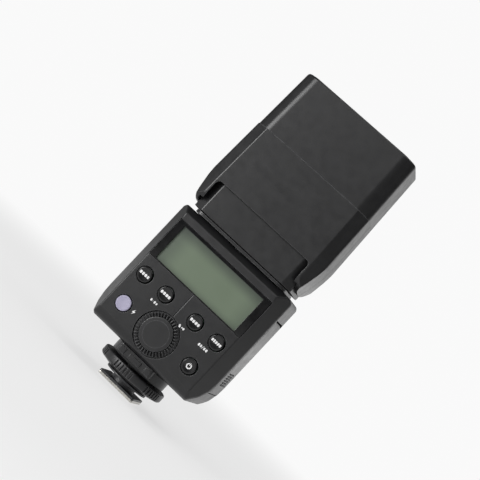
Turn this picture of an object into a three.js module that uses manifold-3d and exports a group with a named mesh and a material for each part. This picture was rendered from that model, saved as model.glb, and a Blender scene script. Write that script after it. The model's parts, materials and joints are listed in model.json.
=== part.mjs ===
import * as THREE from 'three';
import { mergeVertices } from 'three/addons/utils/BufferGeometryUtils.js';
import Module from 'manifold-3d';

// A shoe-mount speedlight: control body, hot-shoe foot with a lock wheel, swivelling neck, tilting zoom head.
// Millimetres, +Z up, display towards -Y. The origin is the centre of the foot's underside.

const wasm = await Module();
wasm.setup();

// Driving dimensions
const gap = 0.3; // between neighbouring pieces
const wall = 1.8;
const far = 200; // reaches past the whole object

const body = {
  halfWidth: 30, flatHalfWidth: 25, rearY: -19.2, frontY: 18.3, bottomZ: 16.1, topZ: 73.7, splitY: -9.9,
};
const windowSize = { halfWidth: 25.3, lowZ: 48.8, highZ: 67.8, depth: 1.3 };
const keys = { radius: 3.2, proud: 0.7, rowZ: 41.4, outerX: 19.9, innerX: 8.15, lowerX: 18.3, lowerZ: 27.4 };
const dial = { radius: 9.25, hubRadius: 5.2, boreRadius: 3.5, proud: 1 };
const boardDepth = 6.2; // from the panel's face to the circuit board
const battery = { lowX: -24.2, highX: 25.8, lowY: -8.4, highY: 11.2, lowZ: 22.4, highZ: 59.4 };
const door = { lowY: -8, highY: 11.2, lowZ: 24.5, highZ: 62, axisX: 28.6, axisZ: 62.3, knuckleRadius: 1.4 };
const port = { lowY: -1.6, highY: 11.4, lowZ: 62, highZ: 70, thickness: 0.8 };
const shoe = { halfWidth: 9.3, rearY: -9, frontY: 9, plateThickness: 2, stemRadius: 5.9 };
const wheel = { radius: 15.9, boreRadius: 7.5, lowZ: 5.2, highZ: 10.3 };
const pedestal = { radius: 13.6, lowZ: 10.9, highZ: 15.8 };
const tiltAxisZ = 93.3;
// Neck and head heights are measured from the tilt axis.
const neck = {
  halfWidth: 26.4, flatHalfWidth: 22.1, halfDepth: 16.2, bevel: 2.8, lowZ: -17.8, coverTopZ: -2.8,
};
const head = {
  halfWidth: 31, flatHalfWidth: 25.6, labelY: -18, frontY: 15.5, cheekX: 26.75, cheekLap: 1.3,
  labelEdgeZ: -4, frontEdgeZ: 19, seamZ: 24.2, topZ: 53, taper: 0.058, splitY: 0,
};
const zoom = { lowZ: 18.3, halfWidth: 20.5, screwX: 24.4, rodX: -24 };
const card = { lowZ: 14, highZ: 52.5, halfWidth: 22, lowY: -15.9, thickness: 0.6 };
const panel = { lowZ: 14, highZ: 52.5, halfWidth: 24, lowY: -14.9, thickness: 1.2 };

const finishes = {
  casing: { color: 0x3d3d40, roughness: 0.55, metalness: 0 },
  gloss: { color: 0x121214, roughness: 0.2, metalness: 0 },
  display: { color: 0x93a18c, roughness: 0.25, metalness: 0 },
  testKey: { color: 0xc9c6d2, roughness: 0.45, metalness: 0 },
  rubber: { color: 0x2a2a2c, roughness: 0.85, metalness: 0 },
  steel: { color: 0xb9bbbd, roughness: 0.35, metalness: 1 },
  brass: { color: 0xd0ab55, roughness: 0.3, metalness: 1 },
  board: { color: 0x1f5a3a, roughness: 0.5, metalness: 0 },
  lens: { color: 0xe8ecee, roughness: 0.12, metalness: 0 },
  redLens: { color: 0x4a0c10, roughness: 0.15, metalness: 0 },
  mirror: { color: 0xd8dadc, roughness: 0.1, metalness: 1 },
  card: { color: 0xf1f1ee, roughness: 0.6, metalness: 0 },
  sleeve: { color: 0x2c3a55, roughness: 0.4, metalness: 0 },
};

// A geometry as a closed solid: shared corners merged, triangles with no area dropped.
function solid(geometry) {
  geometry.deleteAttribute('normal');
  geometry.deleteAttribute('uv');
  const merged = mergeVertices(geometry, 1e-4);
  const triangles = [];
  for (let i = 0; i < merged.index.count; i += 3) {
    const corners = [0, 1, 2].map((k) => merged.index.getX(i + k));
    if (new Set(corners).size === 3) triangles.push(...corners);
  }
  return new wasm.Manifold(new wasm.Mesh({
    numProp: 3,
    vertProperties: new Float32Array(merged.attributes.position.array),
    triVerts: new Uint32Array(triangles),
  }));
}

const join = (first, ...others) => others.reduce((sum, other) => sum.add(other), first);
const cut = (first, ...others) => others.reduce((rest, other) => rest.subtract(other), first);
const common = (first, ...others) => others.reduce((rest, other) => rest.intersect(other), first);

function block(x0, x1, y0, y1, z0, z1) {
  const geometry = new THREE.BoxGeometry(x1 - x0, y1 - y0, z1 - z0);
  geometry.translate((x0 + x1) / 2, (y0 + y1) / 2, (z0 + z1) / 2);
  return solid(geometry);
}

// A round bar along an axis; (a, b) are its centre's other two coordinates, in x, y, z order.
function rod(axis, radius, a, b, from, to, sides = 20) {
  const geometry = new THREE.CylinderGeometry(radius, radius, to - from, sides);
  const middle = (from + to) / 2;
  if (axis === 'x') geometry.rotateZ(Math.PI / 2).translate(middle, a, b);
  if (axis === 'y') geometry.translate(a, middle, b);
  if (axis === 'z') geometry.rotateX(Math.PI / 2).translate(a, b, middle);
  return solid(geometry);
}

const axes = { x: new THREE.Vector3(1, 0, 0), y: new THREE.Vector3(0, 1, 0), z: new THREE.Vector3(0, 0, 1) };

// An outline drawn in the plane named by two axes, pushed along the third.
function prism(plane, outline, from, to) {
  const drawn = outline instanceof THREE.Shape;
  const shape = drawn ? outline : new THREE.Shape(outline.map(([a, b]) => new THREE.Vector2(a, b)));
  const geometry = new THREE.ExtrudeGeometry(shape, { depth: to - from, bevelEnabled: false, curveSegments: 4 });
  const turn = new THREE.Matrix4();
  if (plane === 'xy') geometry.translate(0, 0, from);
  if (plane === 'xz') {
    geometry.applyMatrix4(turn.makeBasis(axes.x, axes.z, axes.y.clone().negate())).translate(0, to, 0);
  }
  if (plane === 'yz') geometry.applyMatrix4(turn.makeBasis(axes.y, axes.z, axes.x)).translate(from, 0, 0);
  return solid(geometry);
}

// A profile of (radius, height) corners turned about an axis through the origin.
function turned(axis, profile, sides = 40) {
  const geometry = new THREE.LatheGeometry(profile.map(([r, h]) => new THREE.Vector2(r, h)), sides);
  if (axis === 'x') geometry.rotateZ(-Math.PI / 2);
  if (axis === 'z') geometry.rotateX(Math.PI / 2);
  return solid(geometry);
}

const closed = (profile) => [...profile, profile[0]];

function roundedRectangle(a0, a1, b0, b1, radius) {
  const shape = new THREE.Shape();
  shape.moveTo(a0 + radius, b0);
  shape.lineTo(a1 - radius, b0).absarc(a1 - radius, b0 + radius, radius, -Math.PI / 2, 0);
  shape.lineTo(a1, b1 - radius).absarc(a1 - radius, b1 - radius, radius, 0, Math.PI / 2);
  shape.lineTo(a0 + radius, b1).absarc(a0 + radius, b1 - radius, radius, Math.PI / 2, Math.PI);
  shape.lineTo(a0, b0 + radius).absarc(a0 + radius, b0 + radius, radius, Math.PI, Math.PI * 1.5);
  return shape;
}

// An outline symmetrical about its first coordinate, from the corners of its positive half.
const mirrored = (half) => [...half, ...half.map(([a, b]) => [-a, b]).reverse()];

// Moves every edge of an anticlockwise convex outline inwards by one distance.
function shrink(outline, distance) {
  const edges = outline.map(([a, b], i) => {
    const [c, d] = outline[(i + 1) % outline.length];
    const length = Math.hypot(c - a, d - b);
    const normal = [-(d - b) / length, (c - a) / length];
    return { normal, offset: normal[0] * a + normal[1] * b + distance };
  });
  return edges.map((edge, i) => {
    const before = edges[(i + edges.length - 1) % edges.length];
    const cross = before.normal[0] * edge.normal[1] - before.normal[1] * edge.normal[0];
    return [
      (before.offset * edge.normal[1] - edge.offset * before.normal[1]) / cross,
      (before.normal[0] * edge.offset - edge.normal[0] * before.offset) / cross,
    ];
  });
}

function piece(name, shape, finish, place = [0, 0, 0]) {
  const mesh = shape.getMesh();
  const geometry = new THREE.BufferGeometry();
  geometry.setAttribute('position', new THREE.BufferAttribute(new Float32Array(mesh.vertProperties), 3));
  geometry.setIndex(new THREE.BufferAttribute(new Uint32Array(mesh.triVerts), 1));
  geometry.computeVertexNormals();
  const part = new THREE.Mesh(geometry, new THREE.MeshStandardMaterial(finishes[finish]));
  part.name = name;
  part.position.set(...place);
  return part;
}

// ---- control body

// The body's outer form, or that form moved inwards: plan, front outline and side profile in one.
function bodyForm(inset) {
  const { halfWidth: w, flatHalfWidth: f, rearY, frontY, bottomZ, topZ } = body;
  const plan = mirrored([[f, rearY], [w, -10.7], [w, 12], [26, frontY]]);
  const outline = mirrored([[25.6, bottomZ], [28.4, 20.5], [29.7, 25], [w, 29], [w, topZ - 1.2], [w - 1.2, topZ]]);
  const profile = [
    [rearY + 3.4, bottomZ], [frontY - 2.5, bottomZ], [frontY, bottomZ + 4], [frontY, topZ - 1.5],
    [frontY - 1.3, topZ], [rearY + 5, topZ], [rearY, topZ - 3], [rearY, bottomZ + 3.7], [rearY + 1.2, bottomZ + 1.2],
  ];
  return common(
    prism('xy', shrink(plan, inset), 0, 100),
    prism('xz', shrink(outline, inset), -far, far),
    prism('yz', shrink(profile, inset), -far, far),
  );
}

const keyPlaces = [
  ['mode_button', -keys.outerX, keys.rowZ],
  ['zoom_button', -keys.innerX, keys.rowZ],
  ['sync_button', keys.innerX, keys.rowZ],
  ['slave_button', keys.outerX, keys.rowZ],
  ['test_button', -keys.lowerX, keys.lowerZ],
  ['power_button', keys.lowerX, keys.lowerZ],
];
const shellScrew = { x: 24, z: 69.9, bossRadius: 1.8, holeRadius: 1.1 };

function rearShell() {
  const { rearY, splitY } = body;
  let shell = common(cut(bodyForm(0), bodyForm(wall)), block(-far, far, -far, splitY - gap, 0, 100));
  const dialFloor = rod('y', dial.radius + 1.6, 0, keys.lowerZ, rearY + 1, rearY + 3.2, 32);
  const bosses = [-1, 1].map((side) =>
    rod('y', shellScrew.bossRadius, side * shellScrew.x, shellScrew.z, rearY + 1, -1, 12));
  shell = join(shell, dialFloor, ...bosses);
  const holes = keyPlaces.flatMap(([, x, z]) => [
    rod('y', keys.radius + gap, x, z, rearY - 1, rearY + wall + 1),
    rod('y', keys.radius + 0.5, x, z, rearY - 1, rearY + 0.4),
  ]);
  const w = windowSize;
  const screwHoles = [-1, 1].map((side) =>
    rod('y', shellScrew.holeRadius, side * shellScrew.x, shellScrew.z, -6.5, 0, 12));
  return cut(
    shell, ...holes, ...screwHoles,
    block(-w.halfWidth, w.halfWidth, rearY - 1, rearY + w.depth, w.lowZ, w.highZ),
    block(3.1 - w.halfWidth, w.halfWidth - 3.1, rearY - 1, rearY + 3, w.lowZ + 0.5, w.highZ - 0.9),
    rod('y', dial.radius + gap, 0, keys.lowerZ, rearY - 1, rearY + 1.4, 32),
    rod('y', dial.hubRadius + gap, 0, keys.lowerZ, rearY, rearY + 4),
    block(-0.2, 0.2, rearY - 1, rearY + gap, keys.lowerZ + dial.radius, w.lowZ), // groove between the key pairs
  );
}

function frontShell() {
  const { frontY, splitY, halfWidth } = body;
  const shell = common(cut(bodyForm(0), bodyForm(wall)), block(-far, far, splitY, far, 0, 100));
  const bosses = [-1, 1].map((side) =>
    rod('y', shellScrew.bossRadius, side * shellScrew.x, shellScrew.z, 6, frontY - 1, 12));
  const screwHoles = [-1, 1].flatMap((side) => [
    rod('y', shellScrew.holeRadius, side * shellScrew.x, shellScrew.z, 5, frontY + 1, 12),
    rod('y', 2, side * shellScrew.x, shellScrew.z, frontY - 1.3, frontY + 1, 16),
  ]);
  const footHoles = footScrewPlaces.map(([x, y]) => rod('z', 1.2, x, y, body.bottomZ - 1, body.bottomZ + 3, 12));
  return cut(
    join(shell, ...bosses), ...screwHoles, ...footHoles,
    rod('z', 9.1, 0, 0, body.topZ - 3, body.topZ + 1, 32), // the neck's spigot turns here
    block(20, far, door.lowY - gap, door.highY + gap, door.lowZ - gap, door.highZ),
    block(26.9, far, door.lowY - gap, door.highY + gap, door.axisZ - 2, door.axisZ + door.knuckleRadius + gap),
    rod('y', 0.9, door.axisX, door.axisZ, door.lowY - 1.2, door.highY + 1.3, 12),
    block(
      -far, port.thickness + gap - halfWidth, port.lowY - gap, port.highY + gap, port.lowZ - gap, port.highZ + gap,
    ),
    block(-far, -20, port.lowY + 1, port.highY - 1, port.lowZ + 1, port.highZ - 1.5),
    block(-15, 15, frontY - 3, frontY + 1, 34, 58), // the red window
  );
}

// A key is drawn about its own centre; y is the depth below the panel's face.
function key(radius) {
  return join(
    rod('y', radius, 0, 0, -keys.proud, 1, 24),
    rod('y', radius - 0.6, 0, 0, 0.8, 2.2, 12),
    rod('y', radius + 0.7, 0, 0, wall + gap, wall + gap + 0.6, 12),
    rod('y', 1.4, 0, 0, 2.4, 4.1, 6),
  );
}

function setKey() {
  return join(rod('y', 3.1, 0, 0, -0.9, 2.6, 32), rod('y', 1.6, 0, 0, 2.4, 4.1, 12));
}

function selectDial() {
  const { radius, hubRadius, boreRadius, proud } = dial;
  return turned('y', closed([
    [7, -0.5], [7.3, -proud], [radius - 0.35, -proud], [radius, 0.4 - proud], [radius, 1.1],
    [hubRadius, 1.1], [hubRadius, 3.6], [boreRadius, 3.6], [boreRadius, -0.5],
  ]), 36);
}

function controlBoard() {
  const switches = keyPlaces.map(([, x, z]) => rod('y', 1.6, x, z, boardDepth - 1.1, boardDepth + 0.2, 12));
  const encoder = block(-5.5, 5.5, boardDepth - 1, boardDepth + 0.2, keys.lowerZ - 5.5, keys.lowerZ + 5.5);
  return join(block(-23, 23, boardDepth, boardDepth + 1.4, 21.5, 66), encoder, ...switches);
}

const terminalPlaces = [-3, 5.8];

function batteryCradle() {
  const b = battery;
  const outer = block(b.lowX - 2, b.highX + 0.4, b.lowY - 1.5, b.highY + 1.5, b.lowZ - 1.5, b.highZ + 1.5);
  const bay = block(b.lowX - 0.8, far, b.lowY - gap, b.highY + gap, b.lowZ - gap, b.highZ + gap);
  const slots = terminalPlaces.map((y) => block(b.lowX - 3, b.lowX, y - 1.1, y + 1.1, 37.7, 44.3));
  return cut(outer, bay, ...slots);
}

function batteryDoor() {
  const plate = common(
    cut(bodyForm(0), bodyForm(wall)),
    block(20, far, door.lowY, door.highY, door.lowZ, door.axisZ),
  );
  const knuckle = rod('y', door.knuckleRadius, door.axisX, door.axisZ, door.lowY, door.highY, 16);
  const pinHole = rod('y', 0.9, door.axisX, door.axisZ, -far, far, 12);
  const ribs = [0, 1, 2, 3].map((row) => block(29, 30.4, -4, 7.2, 26.5 + row * 2, 27.4 + row * 2));
  return cut(join(plate, knuckle, ...ribs), pinHole);
}

function portCover() {
  const { lowY, highY, lowZ, highZ, thickness } = port;
  const x = -body.halfWidth;
  return join(
    block(x, x + thickness, lowY, highY - thickness / 2, lowZ, highZ),
    rod('z', thickness / 2, x + thickness / 2, highY - thickness / 2, lowZ, highZ, 12),
  );
}

function controlBody() {
  const group = new THREE.Group();
  const { rearY, frontY } = body;
  const b = battery;
  const jack = cut(rod('x', 2.2, 1.9, 65.6, -27.9, -20), rod('x', 1.25, 1.9, 65.6, -29, -22, 16));
  const usb = cut(block(-27.9, -21, 4.6, 11.4, 63.9, 67.1), block(-29, -22, 5, 11, 64.4, 66.6));
  const redWindow = prism('xz', roundedRectangle(-14.7, 14.7, 34.3, 57.7, 1), frontY - 1.4, frontY + 0.5);
  const redRim = block(-16.5, 16.5, frontY - 2.7, frontY - 2.1, 33, 59);
  const redStem = block(-14.2, 14.2, frontY - 2.4, frontY - 1.2, 35, 57);
  const packShape = prism('yz', roundedRectangle(b.lowY, b.highY, b.lowZ, b.highZ, 3), b.lowX, b.highX);
  group.add(
    piece('rear_shell', rearShell(), 'casing'),
    piece('front_shell', frontShell(), 'casing'),
    piece('display_window', block(-25, 25, rearY + 0.1, rearY + 1, 49.1, 67.5), 'gloss'),
    piece('lcd_module', block(-23.2, 23.2, rearY + 2.1, rearY + 4.9, 47.9, 66.4), 'display'),
    piece('battery_cradle', batteryCradle(), 'rubber'),
    piece('battery_pack', packShape, 'sleeve'),
    piece('battery_door', batteryDoor(), 'casing'),
    piece('battery_door_pin', rod('y', 0.6, door.axisX, door.axisZ, -9, 12.2, 10), 'steel'),
    piece('power_board', block(-27.8, 26, -9, 11.5, 61.4, 62.9), 'board'),
    piece('charge_transformer', block(6, 20, -3, 11, 63.2, 69.1), 'rubber'),
    piece('sync_jack', jack, 'rubber'),
    piece('usb_socket', usb, 'steel'),
    piece('port_cover', portCover(), 'rubber'),
    piece('red_window', join(redWindow, redRim, redStem), 'redLens'),
    piece('focus_lamp', rod('y', 1.2, -5, 46, 13.1, frontY - 3, 16), 'lens'),
  );
  terminalPlaces.forEach((y, i) => {
    const shape = block(-27.2, -24.5, y - 0.8, y + 0.8, 38, 44);
    group.add(piece(`battery_terminal_${i + 1}`, shape, 'brass'));
  });
  [-1, 1].forEach((side, i) => {
    const shape = join(rod('y', 1.7, 0, 0, 0, 1, 16), rod('y', 0.8, 0, 0, -21.5, 0.5, 10));
    group.add(piece(`shell_screw_${i + 1}`, shape, 'steel', [side * shellScrew.x, frontY - 1, shellScrew.z]));
  });
  return group;
}

// Everything that stands on the rear panel, with y counted from the panel's face.
function controlPanel() {
  const group = new THREE.Group();
  group.position.y = body.rearY;
  keyPlaces.forEach(([name, x, z]) => {
    group.add(piece(name, key(keys.radius), name === 'test_button' ? 'testKey' : 'gloss', [x, 0, z]));
  });
  group.add(
    piece('set_button', setKey(), 'gloss', [0, 0, keys.lowerZ]),
    piece('select_dial', selectDial(), 'casing', [0, 0, keys.lowerZ]),
    piece('control_board', controlBoard(), 'board'),
  );
  return group;
}

// ---- hot-shoe foot

const footScrewPlaces = [[-10, 0], [10, 0]];
const lockPinY = -4.6;
const contactPlaces = [
  ['centre_contact', 0, 2.6, 1],
  ['data_contact_1', -2.3, -1.5, 0.6],
  ['data_contact_2', 2.3, -1.5, 0.6],
  ['data_contact_3', 2.4, 3.7, 0.6],
];
const contactBlock = { halfWidth: 3.6, rearY: -2.7, frontY: 6.4, height: 1.2 };

function shoeFoot() {
  const { halfWidth, rearY, frontY, plateThickness, stemRadius } = shoe;
  const plate = prism('xy', roundedRectangle(-halfWidth, halfWidth, rearY, frontY, 0.8), 0, plateThickness);
  const stem = rod('z', stemRadius, 0, 0, plateThickness - 0.5, 13, 32);
  const c = contactBlock;
  return cut(
    join(plate, stem),
    block(-c.halfWidth - gap, c.halfWidth + gap, c.rearY - gap, c.frontY + gap, -1, c.height + gap),
    rod('z', 1.1, 0, lockPinY, -1, far, 12),
    ...contactPlaces.map(([, x, y, radius]) => rod('z', radius + gap, x, y, -1, 4.2, 12)),
  );
}

function footBlock() {
  const { halfWidth, rearY, frontY, height } = contactBlock;
  const holes = contactPlaces.map(([, x, y, radius]) => rod('z', radius + gap, x, y, -1, far, 12));
  return cut(block(-halfWidth, halfWidth, rearY, frontY, 0, height), ...holes);
}

function lockWheel() {
  const { radius, boreRadius, lowZ, highZ } = wheel;
  return turned('z', closed([
    [boreRadius, lowZ], [10.5, lowZ], [radius - 0.6, lowZ + 1.3], [radius, lowZ + 1.9],
    [radius, highZ - 0.5], [radius - 0.5, highZ], [boreRadius, highZ],
  ]), 40);
}

function pedestalShape() {
  const { radius, lowZ, highZ } = pedestal;
  const tube = rod('z', wheel.boreRadius - gap, 0, 0, 5.2, lowZ + 1, 32);
  const base = rod('z', radius, 0, 0, lowZ, highZ, 40);
  const rearBlock = block(-9, 9, -14.6, 0, lowZ + 1, highZ);
  const lockMark = block(-3.2, 3.2, -15.2, -13, lowZ + 1.8, highZ - 1);
  return cut(
    join(base, tube, rearBlock, lockMark),
    rod('z', shoe.stemRadius + gap, 0, 0, 0, highZ + 1, 32),
    ...footScrewPlaces.map(([x, y]) => rod('z', 1.2, x, y, lowZ + 0.8, highZ + 1, 12)),
  );
}

function foot() {
  const group = new THREE.Group();
  const washer = cut(rod('z', 10.2, 0, 0, 4.1, 4.9, 40), rod('z', wheel.boreRadius, 0, 0, 0, 9, 32));
  group.add(
    piece('pedestal', pedestalShape(), 'casing'),
    piece('lock_wheel', lockWheel(), 'casing'),
    piece('clamp_washer', washer, 'steel'),
    piece('lock_pin', rod('z', 0.8, 0, lockPinY, 0.2, 14.6, 12), 'steel'),
    piece('shoe_foot', shoeFoot(), 'steel'),
    piece('contact_block', footBlock(), 'gloss'),
  );
  contactPlaces.forEach(([name, x, y, radius]) => {
    group.add(piece(name, rod('z', radius, 0, 0, -0.5, 3.4, 12), 'brass', [x, y, 0]));
  });
  footScrewPlaces.forEach(([x, y], i) => {
    const shape = join(rod('z', 1.8, 0, 0, 0, 1.2, 16), rod('z', 0.9, 0, 0, -6.2, 0.5, 10));
    group.add(piece(`foot_screw_${i + 1}`, shape, 'steel', [x, y, 18.2]));
  });
  return group;
}

// ---- neck, about the tilt axis

// The neck's outer form: a bevelled block under a barrel round the tilt axis.
function neckForm(inset) {
  const { halfWidth: w, flatHalfWidth: f, halfDepth: d, bevel, lowZ } = neck;
  const plan = mirrored([[f, -d], [w, bevel - d], [w, d - bevel], [f, d]]);
  const i = inset;
  const endRadius = d - bevel - i * 0.8;
  const flatEnd = f - i * 0.4;
  const barrel = turned('x', [
    [0, i - w], [endRadius, i - w], [d - i, -flatEnd], [d - i, flatEnd], [endRadius, w - i], [0, w - i],
  ]);
  return join(prism('xy', shrink(plan, inset), lowZ, 0), barrel);
}

function neckCore() {
  const { halfWidth, halfDepth, bevel, lowZ, coverTopZ } = neck;
  const coverSpace = block(-far, far, -far, bevel - halfDepth + gap, lowZ - 1, coverTopZ + gap);
  const outer = join(cut(neckForm(0), coverSpace), neckForm(1.5));
  return cut(
    outer,
    rod('x', 13.2, 0, 0, -24, 24, 40),
    block(-23, 23, -12.7, 12.7, lowZ + wall, 0),
    rod('z', 5.5, 0, 0, lowZ - 1, 0),
    rod('x', 4.3, 0, 0, -halfWidth - 1, halfWidth + 1),
  );
}

function neckCover() {
  const { halfDepth, bevel, lowZ, coverTopZ } = neck;
  const slab = common(neckForm(0), block(-far, far, -far, bevel - halfDepth, lowZ - 1, coverTopZ));
  return cut(slab, neckForm(1.2), block(-far, far, -far, far, -far, lowZ));
}

function swivelSpigot() {
  const plate = prism('xy', roundedRectangle(-24.6, 24.6, -15, 15, 4), -19.3, -18.1);
  const spigot = rod('z', 8.7, 0, 0, -23.8, -18.5, 32);
  return cut(join(plate, spigot), rod('z', 5.5, 0, 0, -30, 0));
}

function tiltPin() {
  return join(rod('x', 4, 0, 0, 22, 29.6), rod('x', 5.6, 0, 0, 22, 23.7));
}

function neckGroup() {
  const group = new THREE.Group();
  group.position.z = tiltAxisZ;
  const retainer = cut(rod('z', 12, 0, 0, -23.1, -21.7, 32), rod('z', 9, 0, 0, -30, 0, 32));
  group.add(
    piece('neck_core', neckCore(), 'casing'),
    piece('neck_cover', neckCover(), 'casing'),
    piece('swivel_spigot', swivelSpigot(), 'casing'),
    piece('swivel_retainer', retainer, 'steel'),
    piece('main_capacitor', rod('x', 10.5, 0, 0, -19, 19, 32), 'sleeve'),
    piece('tilt_pin_right', tiltPin(), 'steel'),
  );
  const leftPin = piece('tilt_pin_left', tiltPin(), 'steel');
  leftPin.rotation.z = Math.PI;
  group.add(leftPin);
  return group;
}

// ---- head, about the tilt axis

// The head tapers towards its front; x is scaled by height above the tilt axis.
function tapered(plan, lowZ, highZ) {
  const shape = new THREE.Shape(plan.map(([x, y]) => new THREE.Vector2(x, y)));
  const geometry = new THREE.ExtrudeGeometry(shape, { depth: highZ - lowZ, bevelEnabled: false });
  geometry.translate(0, 0, lowZ);
  const place = geometry.attributes.position;
  for (let i = 0; i < place.count; i += 1) {
    place.setX(i, place.getX(i) * (1 - head.taper * place.getZ(i) / head.topZ));
  }
  return solid(geometry);
}

const { halfWidth: headW, flatHalfWidth: headF, labelY, frontY: headFrontY } = head;
const shellPlan = mirrored([[headF, labelY], [headW, labelY + 3.4], [headW, 9.5], [26, headFrontY]]);
const bezelPlan = mirrored([
  [23.4, labelY], [26.6, labelY + 0.9], [29.4, labelY + 2.9], [headW, labelY + 5.4], [headW, 9.5], [26, headFrontY],
]);

function headShell() {
  const { cheekX, cheekLap, labelEdgeZ, frontEdgeZ, seamZ } = head;
  const lapX = cheekX - cheekLap; // the cheeks lap over the neck's bevels
  const cheekOutline = mirrored([[28, -16.5], [29.4, -11], [30.5, -5], [headW, 0.5], [headW, 60]]);
  const radius = headFrontY;
  const cheekProfile = new THREE.Shape();
  cheekProfile.moveTo(labelY, 60).lineTo(labelY, -9.5).quadraticCurveTo(labelY, -15, -11, -15.8);
  cheekProfile.quadraticCurveTo(-5, -16.3, 0, -16.3).quadraticCurveTo(radius, -16.3, radius, 0).lineTo(radius, 60);
  const outer = common(
    tapered(shellPlan, -20, seamZ - gap / 2),
    prism('xz', cheekOutline, -far, far),
    prism('yz', cheekProfile, -far, far),
  );
  return cut(
    outer,
    tapered(shrink(shellPlan, wall), 11, 60),
    block(-cheekX, cheekX, labelY + 1.5, far, -50, frontEdgeZ),
    prism('xz', roundedRectangle(-lapX, lapX, -50, labelEdgeZ, 2.2), -far, 0),
    rod('x', 4.3, 0, 0, -30, 30),
  );
}

function headBezel() {
  const { seamZ, topZ } = head;
  const outer = tapered(bezelPlan, seamZ + gap / 2, topZ);
  const chamfer = prism('yz', [
    [labelY - 1, 0], [20, 0], [20, topZ], [headFrontY - 1.2, topZ + 0.01], [labelY + 1, topZ + 0.01],
    [labelY, topZ - 1], [labelY - 1, topZ - 1],
  ], -far, far);
  return cut(
    common(outer, chamfer),
    tapered(shrink(bezelPlan, wall), seamZ - 1, topZ - 1.8),
    block(-25.6, 25.6, -12.6, 12.6, topZ - 3, topZ + 1), // light opening
    block(-24.4, 24.4, -16.2, -13.3, topZ - 3, topZ + 1), // slot for the card and the wide panel
  );
}

function fresnelLens() {
  const { topZ } = head;
  const flange = common(
    tapered(shrink(bezelPlan, wall + gap), topZ - 3.4, topZ - 2.1),
    block(-far, far, -12.9, far, 0, far),
  );
  return join(block(-25.3, 25.3, -12.3, 12.3, topZ - 2.6, topZ - 0.4), flange);
}

function pullOut({ lowZ, highZ, halfWidth, lowY, thickness }) {
  return prism('xz', roundedRectangle(-halfWidth, halfWidth, lowZ, highZ, 2), lowY, lowY + thickness);
}

function zoomCarriage() {
  const { lowZ, halfWidth: w, screwX, rodX } = zoom;
  const frame = join(
    block(-w, w, -9, 9, lowZ, lowZ + 1.2),
    block(-w, 1.2 - w, -9, 9, lowZ, lowZ + 14),
    block(w - 1.2, w, -9, 9, lowZ, lowZ + 14),
    block(w - 0.5, screwX + 2.6, -3, 3, lowZ + 10, lowZ + 13),
    block(rodX - 2, 0.5 - w, -3, 3, lowZ + 10, lowZ + 13),
  );
  return cut(frame, rod('z', 1.5, screwX, 0, 0, 60, 12), rod('z', 1.3, rodX, 0, 0, 60, 12));
}

// A trough of bright sheet, open towards the lens, with the tube near its bottom.
function reflector() {
  const { lowZ, halfWidth } = zoom;
  const sheet = new THREE.Shape();
  sheet.moveTo(-12.3, lowZ + 15).quadraticCurveTo(-8, lowZ + 1.8, 0, lowZ + 1.8);
  sheet.quadraticCurveTo(8, lowZ + 1.8, 12.3, lowZ + 15).lineTo(11.7, lowZ + 15);
  sheet.quadraticCurveTo(7.6, lowZ + 2.4, 0, lowZ + 2.4).quadraticCurveTo(-7.6, lowZ + 2.4, -11.7, lowZ + 15);
  return prism('yz', sheet, 1.7 - halfWidth, halfWidth - 1.7);
}

function headGroup() {
  const group = new THREE.Group();
  group.position.z = tiltAxisZ;
  const shell = headShell();
  const { splitY } = head;
  const { lowZ, screwX, rodX } = zoom;
  group.add(
    piece('head_label_shell', common(shell, block(-far, far, -far, splitY - gap / 2, -far, far)), 'casing'),
    piece('head_front_shell', common(shell, block(-far, far, splitY + gap / 2, far, -far, far)), 'casing'),
    piece('head_bezel', headBezel(), 'casing'),
    piece('fresnel_lens', fresnelLens(), 'lens'),
    piece('bounce_card', pullOut(card), 'card'),
    piece('wide_panel', pullOut(panel), 'lens'),
    piece('zoom_carriage', zoomCarriage(), 'rubber'),
    piece('reflector', reflector(), 'mirror'),
    piece('flash_tube', rod('x', 1.8, 0, lowZ + 5.6, -18.4, 18.4, 16), 'lens'),
    piece('zoom_motor', rod('z', 3.5, screwX, 0, lowZ, lowZ + 7.4, 20), 'steel'),
    piece('zoom_screw', rod('z', 1.2, screwX, 0, lowZ + 7.7, 48, 12), 'steel'),
    piece('zoom_guide_rod', rod('z', 1, rodX, 0, lowZ, 48, 12), 'steel'),
    piece('trigger_board', block(-27.7, -26.8, -8, 8, 15, 38), 'board'),
  );
  return group;
}

const speedlight = new THREE.Group();
speedlight.add(controlBody(), controlPanel(), foot(), neckGroup(), headGroup());

export default speedlight;
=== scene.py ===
import bpy
import bmesh
import json
import math
from mathutils import Matrix, Vector

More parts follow.
